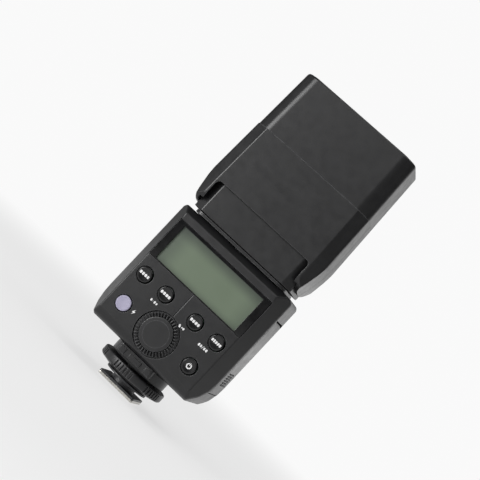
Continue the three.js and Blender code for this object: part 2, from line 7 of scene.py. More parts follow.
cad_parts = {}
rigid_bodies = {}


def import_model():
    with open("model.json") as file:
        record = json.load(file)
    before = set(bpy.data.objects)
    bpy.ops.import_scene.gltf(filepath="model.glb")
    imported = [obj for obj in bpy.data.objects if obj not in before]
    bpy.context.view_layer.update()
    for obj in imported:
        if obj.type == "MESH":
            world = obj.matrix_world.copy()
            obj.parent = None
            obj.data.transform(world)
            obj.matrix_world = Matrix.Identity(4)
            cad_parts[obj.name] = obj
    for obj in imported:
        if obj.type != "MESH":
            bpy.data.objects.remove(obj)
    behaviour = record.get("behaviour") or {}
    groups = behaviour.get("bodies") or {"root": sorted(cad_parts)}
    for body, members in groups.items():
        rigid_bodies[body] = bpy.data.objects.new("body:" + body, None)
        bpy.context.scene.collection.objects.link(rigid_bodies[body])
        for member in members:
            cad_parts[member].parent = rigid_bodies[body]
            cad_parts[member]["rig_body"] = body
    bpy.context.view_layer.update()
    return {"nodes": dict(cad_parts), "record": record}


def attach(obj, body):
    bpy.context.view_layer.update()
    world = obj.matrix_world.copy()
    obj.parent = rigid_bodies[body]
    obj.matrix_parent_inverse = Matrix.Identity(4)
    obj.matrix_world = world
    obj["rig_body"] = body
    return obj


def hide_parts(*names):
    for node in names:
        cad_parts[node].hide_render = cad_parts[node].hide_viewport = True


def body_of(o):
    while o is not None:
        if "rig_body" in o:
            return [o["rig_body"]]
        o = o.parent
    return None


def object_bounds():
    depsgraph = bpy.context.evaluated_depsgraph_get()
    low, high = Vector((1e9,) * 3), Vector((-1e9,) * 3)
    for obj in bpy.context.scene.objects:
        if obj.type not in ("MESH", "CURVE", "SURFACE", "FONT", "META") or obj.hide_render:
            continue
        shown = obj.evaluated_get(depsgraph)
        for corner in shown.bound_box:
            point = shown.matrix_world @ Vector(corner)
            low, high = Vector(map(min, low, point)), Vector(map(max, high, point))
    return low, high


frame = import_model()
scene = bpy.context.scene
nodes = frame["nodes"]
print("frame loaded:", len(nodes), "nodes")

# Shapes are drawn in millimetres and scaled once, when a piece is finished.
tiltAxis = 93.3  # height of the head's tilt axis


# ---- camera

camera = {
    "lens": 100.84, "distance": 550, "azimuth": 11.99, "elevation": -2.01, "roll": 43.20,
    "aside": -5.40, "height": 77.81,
}


def placeCamera():
    azimuth, elevation, roll = (math.radians(camera[k]) for k in ("azimuth", "elevation", "roll"))
    level = math.cos(elevation)
    back = Vector((math.sin(azimuth) * level, -math.cos(azimuth) * level, math.sin(elevation)))
    right = Vector((math.cos(azimuth), math.sin(azimuth), 0))
    up = back.cross(right)
    sideways = right * math.cos(roll) + up * math.sin(roll)
    upwards = up * math.cos(roll) - right * math.sin(roll)
    place = Vector((0, 0, camera["height"])) + right * camera["aside"] + back * camera["distance"]
    data = bpy.data.cameras.new("camera")
    data.lens = camera["lens"]
    obj = bpy.data.objects.new("camera", data)
    obj.matrix_world = Matrix.Translation(place / 1000) @ Matrix((sideways, upwards, back)).transposed().to_4x4()
    scene.collection.objects.link(obj)
    scene.camera = obj


placeCamera()


# ---- shapes

def mirrored(half):  # an outline symmetrical about its first coordinate, from its positive half
    return half + [(-a, b) for a, b in reversed(half)]


def rectangle(a0, a1, b0, b1):
    return [(a0, b0), (a1, b0), (a1, b1), (a0, b1)]


def rounded(outline, radii, steps=6):  # replaces each corner by an arc; radii is one number or one for each corner
    radii = radii if isinstance(radii, (list, tuple)) else [radii] * len(outline)
    result = []
    for i, (corner, radius) in enumerate(zip(outline, radii)):
        here, before, after = Vector(corner), Vector(outline[i - 1]), Vector(outline[(i + 1) % len(outline)])
        toBefore, toAfter = before - here, after - here
        angle = toBefore.angle(toAfter)
        reach = min(radius / math.tan(angle / 2), toBefore.length * 0.49, toAfter.length * 0.49)
        start, end = here + toBefore.normalized() * reach, here + toAfter.normalized() * reach
        for k in range(steps + 1):  # a quadratic curve through the corner stays tangent to both edges
            t = k / steps
            point = start * (1 - t) ** 2 + here * 2 * t * (1 - t) + end * t ** 2
            result.append((point.x, point.y))
    return result


def inset(outline, distance):  # moves every edge of a convex anticlockwise outline inwards
    edges = []
    for (a, b), (c, d) in zip(outline, outline[1:] + outline[:1]):
        length = math.hypot(c - a, d - b) or 1e-9
        normal = (-(d - b) / length, (c - a) / length)
        edges.append((normal, normal[0] * a + normal[1] * b + distance))
    result = []
    for i, (normal, offset) in enumerate(edges):
        before, beforeOffset = edges[i - 1]
        cross = before[0] * normal[1] - before[1] * normal[0]
        if abs(cross) < 1e-7:
            point = outline[i]
            result.append((point[0] + normal[0] * distance, point[1] + normal[1] * distance))
        else:
            result.append(((beforeOffset * normal[1] - offset * before[1]) / cross,
                           (before[0] * offset - normal[0] * beforeOffset) / cross))
    return result


def objectFrom(name, bm):
    bmesh.ops.recalc_face_normals(bm, faces=bm.faces[:])
    mesh = bpy.data.meshes.new(name)
    bm.to_mesh(mesh)
    bm.free()
    obj = bpy.data.objects.new(name, mesh)
    scene.collection.objects.link(obj)
    return obj


def loft(rings):  # rings of equally many points, skinned and capped
    bm = bmesh.new()
    rows = [[bm.verts.new(p) for p in ring] for ring in rings]
    for lower, upper in zip(rows, rows[1:]):
        for i in range(len(lower)):
            j = (i + 1) % len(lower)
            bm.faces.new((lower[i], lower[j], upper[j], upper[i]))
    bm.faces.new(rows[0][::-1])
    bm.faces.new(rows[-1])
    return objectFrom("loft", bm)


# Pushes an outline along an axis, easing its ends.
def prism(plane, outline, low, high, lowEase=0, highEase=0, reshape=None):
    u, v = ("xyz".index(letter) for letter in plane)
    w = 3 - u - v
    levels = []
    for height, ease, inwards in ((low, lowEase, 1), (high, highEase, -1)):
        turns = [k / 4 for k in range(5)] if ease else [1]
        for t in turns:
            turn = t * math.pi / 2
            levels.append((height + inwards * ease * (1 - math.sin(turn)), ease * (1 - math.cos(turn))))
    rings = []
    for height, depth in sorted(levels):
        ring = []
        for a, b in (inset(outline, depth) if depth else outline):
            point = [0, 0, 0]
            point[u], point[v], point[w] = a, b, height
            ring.append(reshape(*point) if reshape else tuple(point))
        rings.append(ring)
    return loft(rings)


def block(x0, x1, y0, y1, z0, z1):
    return prism("xy", rectangle(x0, x1, y0, y1), z0, z1)


def turned(axis, profile, centre=(0, 0, 0), sides=48):  # a closed profile of (radius, height) turned about an axis
    w = "xyz".index(axis)
    u, v = [k for k in range(3) if k != w]
    bm = bmesh.new()
    rows = []
    for radius, height in profile:
        row = []
        for k in range(sides if radius > 1e-6 else 1):
            angle = 2 * math.pi * k / sides
            point = [0, 0, 0]
            point[u], point[v], point[w] = radius * math.cos(angle), radius * math.sin(angle), height
            row.append(bm.verts.new([p + c for p, c in zip(point, centre)]))
        rows.append(row)
    for first, second in zip(rows, rows[1:] + rows[:1]):
        for k in range(sides):
            j = (k + 1) % sides
            corners = [first[k % len(first)], first[j % len(first)]]
            corners += [second[j % len(second)], second[k % len(second)]]
            corners = list(dict.fromkeys(corners))
            if len(corners) > 2:
                bm.faces.new(corners)
    return objectFrom("turned", bm)


def rod(axis, radius, centre, low, high, sides=32):
    return turned(axis, [(0, low), (radius, low), (radius, high), (0, high)], centre, sides)


def convexForm(outlines, depth=0):  # the space inside outlines drawn in several planes
    bm = bmesh.new()
    bmesh.ops.create_cube(bm, size=400)
    for plane, outline in outlines.items():
        u, v = ("xyz".index(letter) for letter in plane)
        for (a, b), (c, d) in zip(outline, outline[1:] + outline[:1]):
            outward, point = Vector(), Vector()
            outward[u], outward[v] = d - b, a - c
            outward.normalize()
            point[u], point[v] = a, b
            point -= outward * depth
            if max((vert.co - point).dot(outward) for vert in bm.verts) < 1e-4:
                continue
            made = bmesh.ops.bisect_plane(
                bm, geom=bm.verts[:] + bm.edges[:] + bm.faces[:], dist=1e-5, plane_co=point, plane_no=outward,
                clear_outer=True)
            rim = [e for e in made["geom_cut"] if isinstance(e, bmesh.types.BMEdge)]
            bmesh.ops.contextual_create(bm, geom=rim)
    return objectFrom("form", bm)


def settle(obj):  # keeps what the modifiers make as a plain mesh
    made = bpy.data.meshes.new_from_object(obj.evaluated_get(bpy.context.evaluated_depsgraph_get()))
    obj.modifiers.clear()
    old, obj.data = obj.data, made
    bpy.data.meshes.remove(old)
    return obj


def combine(base, operation, *others):
    for other in others:
        step = base.modifiers.new("step", "BOOLEAN")
        step.operation, step.object, step.solver = operation, other, "EXACT"
    settle(base)
    for other in others:
        bpy.data.objects.remove(other)
    return base


# Rounds edges; weightOf gives each edge its own share of the width.
def ease(obj, width, angle=30, segments=2, weightOf=None):
    bm = bmesh.new()
    bm.from_mesh(obj.data)
    bmesh.ops.remove_doubles(bm, verts=bm.verts, dist=0.003)
    bmesh.ops.dissolve_limit(bm, angle_limit=math.radians(0.6), verts=bm.verts, edges=bm.edges)
    if weightOf:
        layer = bm.edges.layers.float.new("bevel_weight_edge")
        for edge in bm.edges:
            edge[layer] = weightOf(edge)
    bm.to_mesh(obj.data)
    bm.free()
    bevel = obj.modifiers.new("ease", "BEVEL")
    bevel.width, bevel.segments = width, segments
    bevel.limit_method = "WEIGHT" if weightOf else "ANGLE"
    bevel.angle_limit = math.radians(angle)
    bevel.use_clamp_overlap = bool(weightOf)
    return settle(obj)


def copyOf(node):  # a node's shape in millimetres, its loose triangles merged
    bm = bmesh.new()
    bm.from_mesh(nodes[node].data)
    bmesh.ops.scale(bm, vec=(1000, 1000, 1000), verts=bm.verts)
    bmesh.ops.remove_doubles(bm, verts=bm.verts, dist=0.003)
    mesh = bpy.data.meshes.new(node)
    bm.to_mesh(mesh)
    bm.free()
    obj = bpy.data.objects.new(node, mesh)
    scene.collection.objects.link(obj)
    return obj


def merge(first, *others):  # separate solids in one piece
    bm = bmesh.new()
    for obj in (first, *others):
        bm.from_mesh(obj.data)
    bm.to_mesh(first.data)
    bm.free()
    for obj in others:
        bpy.data.objects.remove(obj)
    return first


def finishPiece(obj, name, material, *stands, body=None, smooth=35, slot=None):
    mesh = obj.data
    mesh.transform(Matrix.Scale(0.001, 4))
    mesh.materials.clear()
    mesh.materials.append(material)
    for face in mesh.polygons:
        face.use_smooth = True
    mesh.set_sharp_from_angle(angle=math.radians(smooth))
    flat = obj.modifiers.new("flat", "WEIGHTED_NORMAL")  # big flat faces stay flat beside their eased edges
    flat.mode, flat.weight, flat.keep_sharp = "FACE_AREA", 100, True
    settle(obj)
    mesh = obj.data
    obj.name = mesh.name = name
    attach(obj, body or body_of(nodes[stands[0]])[0])
    if stands:
        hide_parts(*stands)
    return obj


# ---- nodes, for materials and for what repeats

def addNode(tree, kind, values=None, links=None, **settings):
    node = tree.nodes.new(kind)
    for name, value in settings.items():
        setattr(node, name, value)
    for socket, value in (values or {}).items():
        node.inputs[socket].default_value = value
    for socket, source in (links or {}).items():
        tree.links.new(source, node.inputs[socket])
    return node


def colour(text):  # an sRGB hex value as linear
    parts = [int(text[i:i + 2], 16) / 255 for i in (0, 2, 4)]
    return (*(p / 12.92 if p <= 0.04045 else ((p + 0.055) / 1.055) ** 2.4 for p in parts), 1)


def perMetre(size):  # noise scale for a pattern of this size in millimetres
    return 1000 / size


def surface(name, base, deep, roughness, cloud=18, grain=0.55, bump=0.1, **fixed):
    # Two close colours drift over the part; roughness wanders a little; a fine grain lifts the surface.
    material = bpy.data.materials.new(name)
    material.use_nodes = True
    tree = material.node_tree
    shader = tree.nodes["Principled BSDF"]
    for socket, value in fixed.items():
        shader.inputs[socket.replace("_", " ")].default_value = value
    place = addNode(tree, "ShaderNodeTexCoord").outputs["Object"]
    drift = addNode(tree, "ShaderNodeTexNoise", {"Scale": perMetre(cloud), "Detail": 3.0}, {"Vector": place})
    ramp = addNode(tree, "ShaderNodeValToRGB", links={"Fac": drift.outputs["Fac"]})
    ramp.color_ramp.elements[0].position, ramp.color_ramp.elements[1].position = 0.35, 0.65
    ramp.color_ramp.elements[0].color, ramp.color_ramp.elements[1].color = colour(deep), colour(base)
    tree.links.new(ramp.outputs["Color"], shader.inputs["Base Color"])
    wander = addNode(tree, "ShaderNodeTexNoise", {"Scale": perMetre(cloud / 4), "Detail": 2.0}, {"Vector": place})
    low, high = roughness
    spread = addNode(tree, "ShaderNodeMapRange", {"From Min": 0.3, "From Max": 0.7, "To Min": low, "To Max": high},
                     {"Value": wander.outputs["Fac"]})
    tree.links.new(spread.outputs["Result"], shader.inputs["Roughness"])
    if bump:
        fine = addNode(tree, "ShaderNodeTexNoise", {"Scale": perMetre(grain), "Detail": 2.0}, {"Vector": place})
        lift = addNode(tree, "ShaderNodeBump", {"Strength": bump, "Distance": 0.00003},
                       {"Height": fine.outputs["Fac"]})
        tree.links.new(lift.outputs["Normal"], shader.inputs["Normal"])
    return material


def placeOf(material):  # the object coordinates that its pattern already reads
    return next(n for n in material.node_tree.nodes if n.type == "TEX_COORD").outputs["Object"]


bandSpan = math.pi / 10  # from one band of a wave texture to the next, at scale 1


def warped(distortion, detail=2.0):  # how far a wave texture's bands wander
    return {"Distortion": distortion, "Detail": detail, "Detail Scale": 1.2}


def pattern(material, kind, size, values=None, **settings):  # size in mm: a cell, or band to band
    scale = perMetre(size) * (bandSpan if kind == "Wave" else 1)
    node = addNode(material.node_tree, "ShaderNodeTex" + kind, {"Scale": scale, **(values or {})},
                   {"Vector": placeOf(material)}, **settings)
    return node.outputs


# Mixes one more colour over what the surface has, by an amount from 0 to 1. Where rise gives (low, high, most), the
# colour comes in smoothly as the amount goes from low to high, up to most.
def tint(material, amount, text, rise=None):
    tree = material.node_tree
    shader = tree.nodes["Principled BSDF"]
    if rise:
        low, high, most = rise
        span = {"From Min": low, "From Max": high, "To Min": 0.0, "To Max": most}
        grown = addNode(tree, "ShaderNodeMapRange", span, {"Value": amount}, interpolation_type="SMOOTHSTEP")
        amount = grown.outputs["Result"]
    under = shader.inputs["Base Color"].links[0].from_socket
    over = addNode(tree, "ShaderNodeMix", {7: colour(text)}, {0: amount, 6: under}, data_type="RGBA")
    tree.links.new(over.outputs[2], shader.inputs["Base Color"])
    return amount


def raised(material, height, strength, distance=0.00005):  # adds a pattern's height to the grain
    tree = material.node_tree
    shader = tree.nodes["Principled BSDF"]
    links = {"Height": height}
    if shader.inputs["Normal"].links:
        links["Normal"] = shader.inputs["Normal"].links[0].from_socket
    lift = addNode(tree, "ShaderNodeBump", {"Strength": strength, "Distance": distance}, links)
    tree.links.new(lift.outputs["Normal"], shader.inputs["Normal"])


def edgeWearAndHighlight(material, text, width, most):  # edges painted paler, unevenly: rubbed wear, and on the moulded casing a painted highlight along its edges
    tree = material.node_tree
    soft = addNode(tree, "ShaderNodeBevel", {"Radius": width / 1000}, samples=6)
    true = addNode(tree, "ShaderNodeNewGeometry")
    same = addNode(tree, "ShaderNodeVectorMath", links={0: soft.outputs[0], 1: true.outputs["Normal"]},
                   operation="DOT_PRODUCT")
    edge = addNode(tree, "ShaderNodeMapRange", {"From Min": 0.995, "From Max": 0.88, "To Min": 0.0, "To Max": most},
                   {"Value": same.outputs["Value"]})
    patches = pattern(material, "Noise", 2.5, {"Detail": 4.0})
    uneven = addNode(tree, "ShaderNodeMapRange", {"From Min": 0.3, "From Max": 0.6, "To Min": 0.35, "To Max": 1.0},
                     {"Value": patches["Fac"]})
    wearAndHighlight = addNode(tree, "ShaderNodeMath", links={0: edge.outputs["Result"], 1: uneven.outputs["Result"]},
                   operation="MULTIPLY")
    tint(material, wearAndHighlight.outputs[0], text)


# Moulded ABS, spark-eroded in the tool: a near-black satin skin with a fine even grain, its edges painted paler, partly
# as a painted highlight and partly as rubbed wear. The grain is about 0.1 mm; drawn at 0.5 mm so that it shows.
mouldedAbs = surface("mouldedAbs", "1b1b1c", "171718", (0.31, 0.37), cloud=14, grain=0.5, bump=0.1, IOR=1.48)
raised(mouldedAbs, pattern(mouldedAbs, "Voronoi", 0.6)["Distance"], 0.06)
# pale edges: mostly a painted highlight along the casing's edges, with some rubbed wear
edgeWearAndHighlight(mouldedAbs, "69696b", 0.35, 0.8)
# The same resin polished in the tool, on keys: black, with sharp reflections and faint finger marks.
polishedAbs = surface("polishedAbs", "0f0f10", "0b0b0c", (0.14, 0.24), cloud=6, grain=1.4, bump=0.03, IOR=1.5)
smears = pattern(polishedAbs, "Wave", 10.681, warped(9.0, 4.0), bands_direction="DIAGONAL")["Fac"]
tint(polishedAbs, smears, "1d1d1f", (0.75, 1.0, 0.25))
edgeWearAndHighlight(polishedAbs, "3a3a3c", 0.2, 0.6)
# Cast acrylic printed black from behind: deep and glossy.
printedAcrylic = surface("printedAcrylic", "0d0d0f", "090909", (0.08, 0.14), cloud=12, grain=3, bump=0.01, IOR=1.49)
edgeWearAndHighlight(printedAcrylic, "2e2e31", 0.15, 0.8)


def lcdFace():  # a dot matrix under a polariser, with painted shade along all four edges of its window, where the frame shadows the recessed glass
    material = surface("lcdGlass", "65725f", "606d5a", (0.34, 0.42), cloud=30, grain=0.9, bump=0.01, IOR=1.45)
    tree = material.node_tree
    axes = addNode(tree, "ShaderNodeSeparateXYZ", links={0: placeOf(material)}).outputs
    dot = 0.55  # the dots are 0.3 mm; drawn at 0.55 mm so that they show
    for axis in "XZ":
        scaled = addNode(tree, "ShaderNodeMath", {1: perMetre(dot)}, {0: axes[axis]}, operation="MULTIPLY")
        cell = addNode(tree, "ShaderNodeMath", links={0: scaled.outputs[0]}, operation="FRACT")
        tint(material, cell.outputs[0], "3c463a", (0.8, 0.95, 0.05))
    for axis, start, edge, most, shade in (  # painted shade: places in metres, from clear glass to the window's edge
            ("X", -0.012, -0.0218, 0.6, "39413b"), ("X", 0.0145, 0.0218, 0.3, "39413b"),
            ("Z", 0.0605, 0.0664, 0.75, "343b35"), ("Z", 0.0525, 0.0492, 0.35, "39413b")):
        tint(material, axes[axis], shade, (start, edge, most))
    return material


# Reflective LCD with its light off: grey-green, with painted shade darkest along its top and left edges.
lcdGlass = lcdFace()
# Milky lavender key of translucent resin over the ready lamp.
milkyResin = surface("milkyResin", "a4a0b6", "9a96ad", (0.36, 0.44), cloud=3.2, grain=0.6, bump=0.05, IOR=1.47)
raised(milkyResin, pattern(milkyResin, "Wave", 6.912, warped(6.0), bands_direction="X")["Fac"], 0.05)
# Screen-printed white ink, slightly uneven where the mesh left it.
screenInk = surface("screenInk", "ededed", "d8d8d8", (0.5, 0.6), cloud=1.2, grain=0.3, bump=0.05)
# Soft-touch thermoplastic rubber, dull, with pale dust caught in its grain.
softRubber = surface("softRubber", "1e1e1f", "171718", (0.72, 0.84), cloud=8, grain=0.4, bump=0.3)
tint(softRubber, pattern(softRubber, "Noise", 0.5, {"Detail": 5.0})["Fac"], "4b4a48", (0.6, 0.75, 0.3))
# Glass-filled nylon for inner parts: dark, with pale flow marks where the fibres lie at its skin.
filledNylon = surface("filledNylon", "2c2c2b", "1f1f20", (0.5, 0.64), cloud=2.4, grain=0.35, bump=0.2)
fibres = pattern(filledNylon, "Wave", 5.027, warped(14.0, 5.0), bands_direction="X")["Fac"]
tint(filledNylon, fibres, "55544f", (0.9, 1.0, 0.35))
# Zinc-plated steel: cool, with a satin bloom and crystal patches.
platedSteel = surface("platedSteel", "b8babd", "a3a6aa", (0.28, 0.4), cloud=5, grain=0.4, bump=0.05, Metallic=1.0)
tint(platedSteel, pattern(platedSteel, "Voronoi", 1.8)["Distance"], "8f9398", (0.2, 0.7, 0.35))
# Steel painted near black as shade, for the foot's stem and washer, which sit in the shadow under the wheel: blue-black
# and oily, bare where it rubs.
shadedSteel = surface("shadedSteel", "1a1b1e", "131416", (0.34, 0.46), cloud=3, grain=0.4, bump=0.08, IOR=1.6)
edgeWearAndHighlight(shadedSteel, "6f7073", 0.2, 0.5)
# Nickel-plated foot, brushed along the shoe before plating. The brushing is 0.05 mm; drawn far coarser, at 1.9 mm.
nickelPlate = surface("nickelPlate", "c9c7c1", "b4b2ac", (0.24, 0.36), cloud=4, grain=0.5, bump=0.02, Metallic=1.0)
raised(nickelPlate, pattern(nickelPlate, "Wave", 1.885, warped(1.5, 3.0), bands_direction="X")["Fac"], 0.08)
# Gold flash over brass contacts, rubbed paler at the tips.
goldFlash = surface("goldFlash", "dcb45c", "c99d46", (0.2, 0.32), cloud=1.5, grain=0.3, bump=0.04, Metallic=1.0)
edgeWearAndHighlight(goldFlash, "f0dca0", 0.15, 0.7)
# Glass-epoxy board under green solder mask: paler over wide copper areas 8 mm apart, which stand a little proud.
solderMask = surface("solderMask", "175a37", "12462c", (0.3, 0.45), cloud=3, grain=1.1, bump=0.15)
copper = pattern(solderMask, "Wave", 8.168, warped(2.0, 0.0), bands_direction="Z")["Fac"]
tracks = tint(solderMask, copper, "2c8a55", (0.55, 0.7, 0.8))
raised(solderMask, tracks, 0.4)
# Clear polycarbonate, pressed with fine prisms.
clearPolycarbonate = surface("clearPolycarbonate", "f4f7f8", "e9eef0", (0.06, 0.12), cloud=9, grain=2, bump=0.01,
                             IOR=1.585, Transmission_Weight=0.85)
# Infrared-passing acrylic over the focus lamp: nearly black, blood red in strong light.
redAcrylic = surface("redAcrylic", "3d070b", "250406", (0.06, 0.1), cloud=14, grain=2.5, bump=0.01,
                     IOR=1.49, Coat_Weight=0.6)
# Fused quartz tube.
fusedQuartz = surface("fusedQuartz", "f1f4f5", "e3e8ea", (0.04, 0.09), cloud=5, grain=2, bump=0.01,
                      IOR=1.46, Transmission_Weight=0.7)
# Bright-rolled aluminium sheet of the reflector, with faint rolling lines every 5 mm.
brightAluminium = surface("brightAluminium", "e6e8ea", "d9dcdf", (0.08, 0.16), cloud=7, grain=1.6, bump=0.04,
                          Metallic=1.0)
raised(brightAluminium, pattern(brightAluminium, "Wave", 5.027, warped(1.0), bands_direction="Y")["Fac"], 0.06)
# White polypropylene card, satin, with faint wide streaks along its travel.
whiteCard = surface("whiteCard", "f0f0ed", "e5e4df", (0.5, 0.62), cloud=7, grain=0.6, bump=0.06)
streaks = pattern(whiteCard, "Wave", 5.655, warped(0.6), bands_direction="X")["Fac"]
tint(whiteCard, streaks, "c2c0b8", (0.9, 1.0, 0.08))
# Blue-black PVC sleeve shrunk over cells, tight and shiny, with a few shallow wrinkles.
shrinkSleeve = surface("shrinkSleeve", "27324a", "1c2436", (0.28, 0.42), cloud=9, grain=2.2, bump=0.08)
raised(shrinkSleeve, pattern(shrinkSleeve, "Wave", 28.274, warped(7.0), bands_direction="Z")["Fac"], 0.3)

finishOf = {  # for each of the record's material slots
    "moulded_casing": mouldedAbs, "gloss_black": polishedAbs, "lcd_glass": lcdGlass, "test_key": milkyResin,
    "soft_black": softRubber, "inner_plastic": filledNylon, "steel": platedSteel, "shoe_metal": nickelPlate,
    "contact_metal": goldFlash, "circuit_board": solderMask, "lens_plastic": clearPolycarbonate,
    "red_lens": redAcrylic,
    "lamp_glass": fusedQuartz, "mirror_sheet": brightAluminium, "white_card": whiteCard,
    "shrink_sleeve": shrinkSleeve,
}
slotOf = {part["node"]: part["material_slot"] for part in frame["record"]["subparts"]}
for node, obj in nodes.items():
    for k in range(len(obj.material_slots)):
        obj.material_slots[k].link = "OBJECT"
        obj.material_slots[k].material = finishOf[slotOf[node]]
print("materials made:", len(finishOf))


def newTree(name, sizes):  # a geometry tree with named inputs: the shape, its sizes and its material
    tree = bpy.data.node_groups.new(name, "GeometryNodeTree")
    tree.interface.new_socket("Geometry", in_out="INPUT", socket_type="NodeSocketGeometry")
    for label, kind in sizes.items():
        tree.interface.new_socket(label, in_out="INPUT", socket_type="NodeSocket" + kind)
    tree.interface.new_socket("Material", in_out="INPUT", socket_type="NodeSocketMaterial")
    tree.interface.new_socket("Geometry", in_out="OUTPUT", socket_type="NodeSocketGeometry")
    return tree, addNode(tree, "NodeGroupInput").outputs


def closeTree(tree, given, geometry):
    real = addNode(tree, "GeometryNodeRealizeInstances", links={"Geometry": geometry})
    dressed = addNode(tree, "GeometryNodeSetMaterial", links={
        "Geometry": real.outputs[0], "Material": given["Material"]})
    addNode(tree, "NodeGroupOutput", links={"Geometry": dressed.outputs[0]})
    return tree


def makeRing():  # copies of a shape round Z; every so many places, a few are left empty
    tree, given = newTree("ring", {"Count": "Int", "Radius": "Float", "Group": "Int", "Filled": "Int"})
    circle = addNode(tree, "GeometryNodeMeshCircle", links={"Vertices": given["Count"], "Radius": given["Radius"]})
    index = addNode(tree, "GeometryNodeInputIndex").outputs[0]
    step = addNode(tree, "ShaderNodeMath", {0: 2 * math.pi}, {1: given["Count"]}, operation="DIVIDE")
    angle = addNode(tree, "ShaderNodeMath", links={0: index, 1: step.outputs[0]}, operation="MULTIPLY")
    turn = addNode(tree, "ShaderNodeCombineXYZ", links={"Z": angle.outputs[0]})
    within = addNode(tree, "ShaderNodeMath", links={0: index, 1: given["Group"]}, operation="MODULO")
    chosen = addNode(tree, "ShaderNodeMath", links={0: within.outputs[0], 1: given["Filled"]}, operation="LESS_THAN")
    copies = addNode(tree, "GeometryNodeInstanceOnPoints", links={
        "Points": circle.outputs["Mesh"], "Instance": given["Geometry"], "Rotation": turn.outputs[0],
        "Selection": chosen.outputs[0]})
    return closeTree(tree, given, copies.outputs[0])


def makeField():  # copies of a shape on a flat grid in XY
    tree, given = newTree("field", {"Length": "Float", "Width": "Float", "Columns": "Int", "Rows": "Int"})
    grid = addNode(tree, "GeometryNodeMeshGrid", links={
        "Size X": given["Length"], "Size Y": given["Width"],
        "Vertices X": given["Columns"], "Vertices Y": given["Rows"]})
    copies = addNode(tree, "GeometryNodeInstanceOnPoints", links={
        "Points": grid.outputs["Mesh"], "Instance": given["Geometry"]})
    return closeTree(tree, given, copies.outputs[0])


ringTree, fieldTree = makeRing(), makeField()


def repeat(obj, tree, material, turn=None, **sizes):  # runs a tree on a shape, then turns and places the result
    work = obj.modifiers.new("repeat", "NODES")
    work.node_group = tree
    labels = {item.name: item.identifier for item in tree.interface.items_tree if item.in_out == "INPUT"}
    for label, value in {**sizes, "Material": material}.items():
        work[labels[label]] = value
    settle(obj)
    if turn:
        obj.data.transform(turn)
    return obj


def toPanel(x, y, z):  # from a drawing in XY with +Z out of it, to a face that looks along -Y
    return Matrix.Translation((x, y, z)) @ Matrix.Rotation(math.pi / 2, 4, "X")


def smallPad(length, width, height, edge):  # a flat bar with eased edges, centred, standing on Z 0
    outline = rounded(rectangle(-length / 2, length / 2, -width / 2, width / 2), edge, 3)
    return prism("xy", outline, 0, height, 0, height * 0.4)


# ---- control body

body = {
    "plan": mirrored([(25, -19.2), (30, -10.7), (30, 12), (26, 18.3)]),
    "front": mirrored([(25.6, 16.1), (28.4, 20.5), (29.7, 25), (30, 29), (30, 72.5), (28.8, 73.7)]),
    "side": [(-15.8, 16.1), (15.8, 16.1), (18.3, 20.1), (18.3, 72.2), (17, 73.7), (-14.2, 73.7), (-19.2, 70.7),
             (-19.2, 19.8), (-18, 17.3)],
    "wall": 1.8, "seam": -10.05, "seamGap": 0.15, "edge": 1.0, "panelY": -19.2,
}
keyAt = {
    "mode": (-19.9, 41.4), "zoom": (-8.15, 41.4), "sync": (8.15, 41.4), "slave": (19.9, 41.4),
    "test": (-18.3, 27.4), "power": (18.3, 27.4),
}
dialAt = 27.4


def bodyForm(depth=0):
    form = convexForm({"xy": body["plan"], "xz": body["front"], "yz": body["side"]}, depth)
    return form if depth else ease(form, body["edge"], segments=4, weightOf=bodyEdge)


def bodyEdge(edge):  # the bottom band rolls in softly; the side bevels stay crisp
    middle = (edge.verts[0].co + edge.verts[1].co) / 2
    if middle.z < 21 and middle.y < -15:
        return 1.0
    if abs(middle.x) > 27 or middle.y > 10:
        return 0.9
    return 0.5


def rearPanel():
    beyond = block(-90, 90, body["seam"] - body["seamGap"], 90, -90, 200)
    shell = combine(bodyForm(), "DIFFERENCE", bodyForm(body["wall"]), beyond)
    y = body["panelY"]
    aboveRim = block(-20, 20, -30, 0, 18.4, 60)
    boss = combine(rod("y", 10.9, (0, 0, dialAt), y + 1, y + 3.2, 64), "INTERSECT", aboveRim)
    shell = combine(shell, "UNION", boss)
    cuts = [
        prism("xz", rounded(rectangle(-25.25, 25.25, 48.8, 67.8), 0.5, 3), y - 1, y + 1.3),
        block(-22.1, 22.1, y - 1, y + 3, 49.3, 66.8),
        rod("y", 9.6, (0, 0, dialAt), y - 1, y + 1.4, 96),
        block(-0.22, 0.22, y - 1, y + 0.35, dialAt + 9, 49.5),
    ]
    for x, z in keyAt.values():
        cuts += [rod("y", 3.5, (x, 0, z), y - 1, y + 3, 48), rod("y", 3.75, (x, 0, z), y - 1, y + 0.4, 48)]
    shell = ease(combine(shell, "DIFFERENCE", *cuts), 0.14, 40)
    shell = combine(shell, "DIFFERENCE", rod("y", 5.5, (0, 0, dialAt), y - 1, y + 4, 64))  # the dial's shaft
    finishPiece(shell, "rearPanel", mouldedAbs, "rear_shell")


casing = {  # boxes of its openings, and the places of its screws
    "battery": (20, 90, -8.3, 11.5, 24.2, 62), "doorHinge": (26.9, 90, -8.3, 11.5, 60.3, 64),
    "coverSeat": (-90, -28.9, -1.9, 11.7, 61.7, 70.3), "ports": (-90, -20, -0.6, 10.4, 63, 68.5),
    "window": (-15, 15, 34, 58), "spigotRadius": 9.1, "screwX": 24, "screwZ": 69.9, "footScrewX": 10,
}


